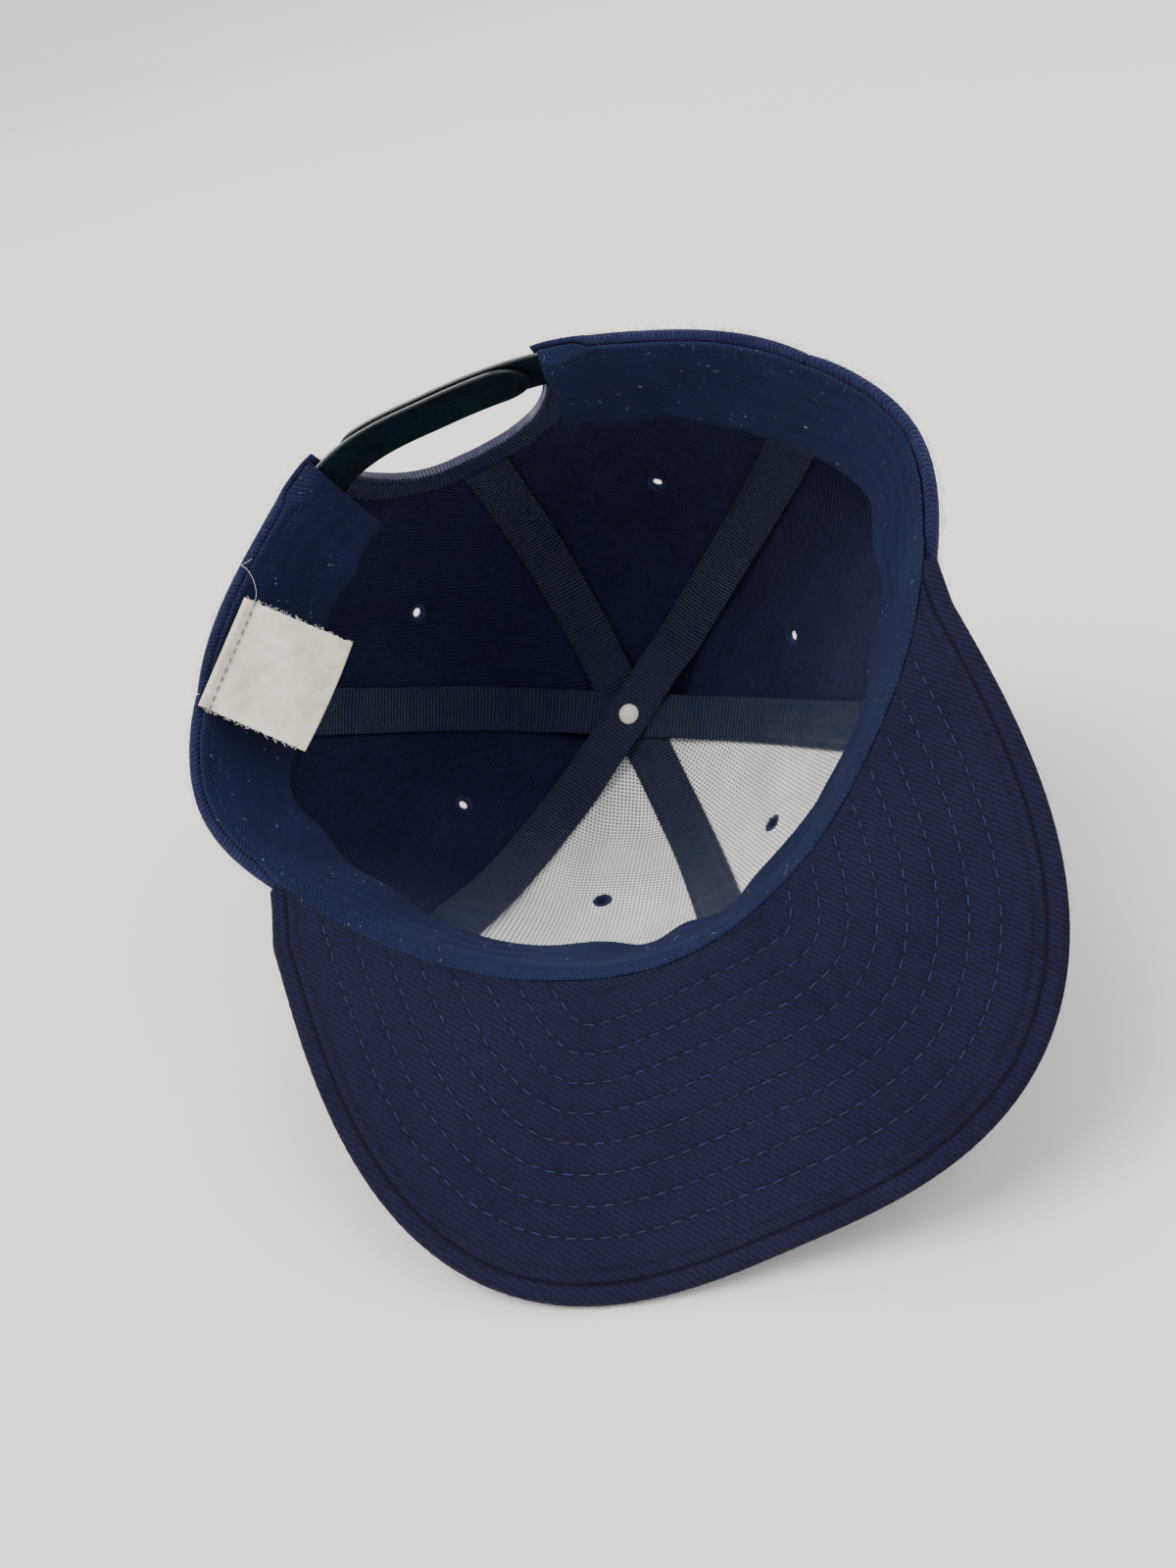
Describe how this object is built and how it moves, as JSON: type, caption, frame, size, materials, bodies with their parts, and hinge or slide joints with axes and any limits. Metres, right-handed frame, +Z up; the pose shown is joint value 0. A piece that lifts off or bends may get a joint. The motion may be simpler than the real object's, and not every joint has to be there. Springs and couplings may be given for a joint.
{
  "type": "snapback cap",
  "caption": "Flat-brimmed cloth cap with sewn crown panels, a turned-in sweatband and a snap strap under an arched back opening, lying upside down.",
  "frame": {"origin": "middle of the object's box on the floor that the cap lies on", "axes": "+Z up from the floor; +Y away from the brim, towards the back of the cap, as it lies; +X to the wearer's right"},
  "size_m": [0.2076, 0.2322, 0.1637],
  "materials": {
    "wool_crown": "felted navy wool, matte with short fuzz",
    "wool_brim": "navy wool twill with rows of stitching",
    "buckram": "white open-weave buckram",
    "seam_tape": "dark navy ribbed tape with a satin sheen",
    "sweatband_twill": "navy cotton twill",
    "strap_plastic": "glossy dark navy plastic",
    "label_satin": "white woven satin, bare",
    "rivet_paint": "off-white painted metal",
    "eyelet_thread": "navy thread, stitched round"
  },
  "bodies": {
    "root": {"panel_front_left": "wool_crown", "panel_front_right": "wool_crown", "panel_side_left": "wool_crown", "panel_side_right": "wool_crown", "panel_back_left": "wool_crown", "panel_back_right": "wool_crown", "button": "wool_crown", "brim": "wool_brim", "buckram_left": "buckram", "buckram_right": "buckram", "tape_front_back": "seam_tape", "tape_right_left": "seam_tape", "tape_left_right": "seam_tape", "arch_binding": "seam_tape", "sweatband": "sweatband_twill", "strap_pegs": "strap_plastic", "strap_holes": "strap_plastic", "label": "label_satin", "rivet": "rivet_paint", "eyelet_front_left": "eyelet_thread", "eyelet_front_right": "eyelet_thread", "eyelet_side_left": "eyelet_thread", "eyelet_side_right": "eyelet_thread", "eyelet_back_left": "eyelet_thread", "eyelet_back_right": "eyelet_thread"}
  },
  "joints": []
}
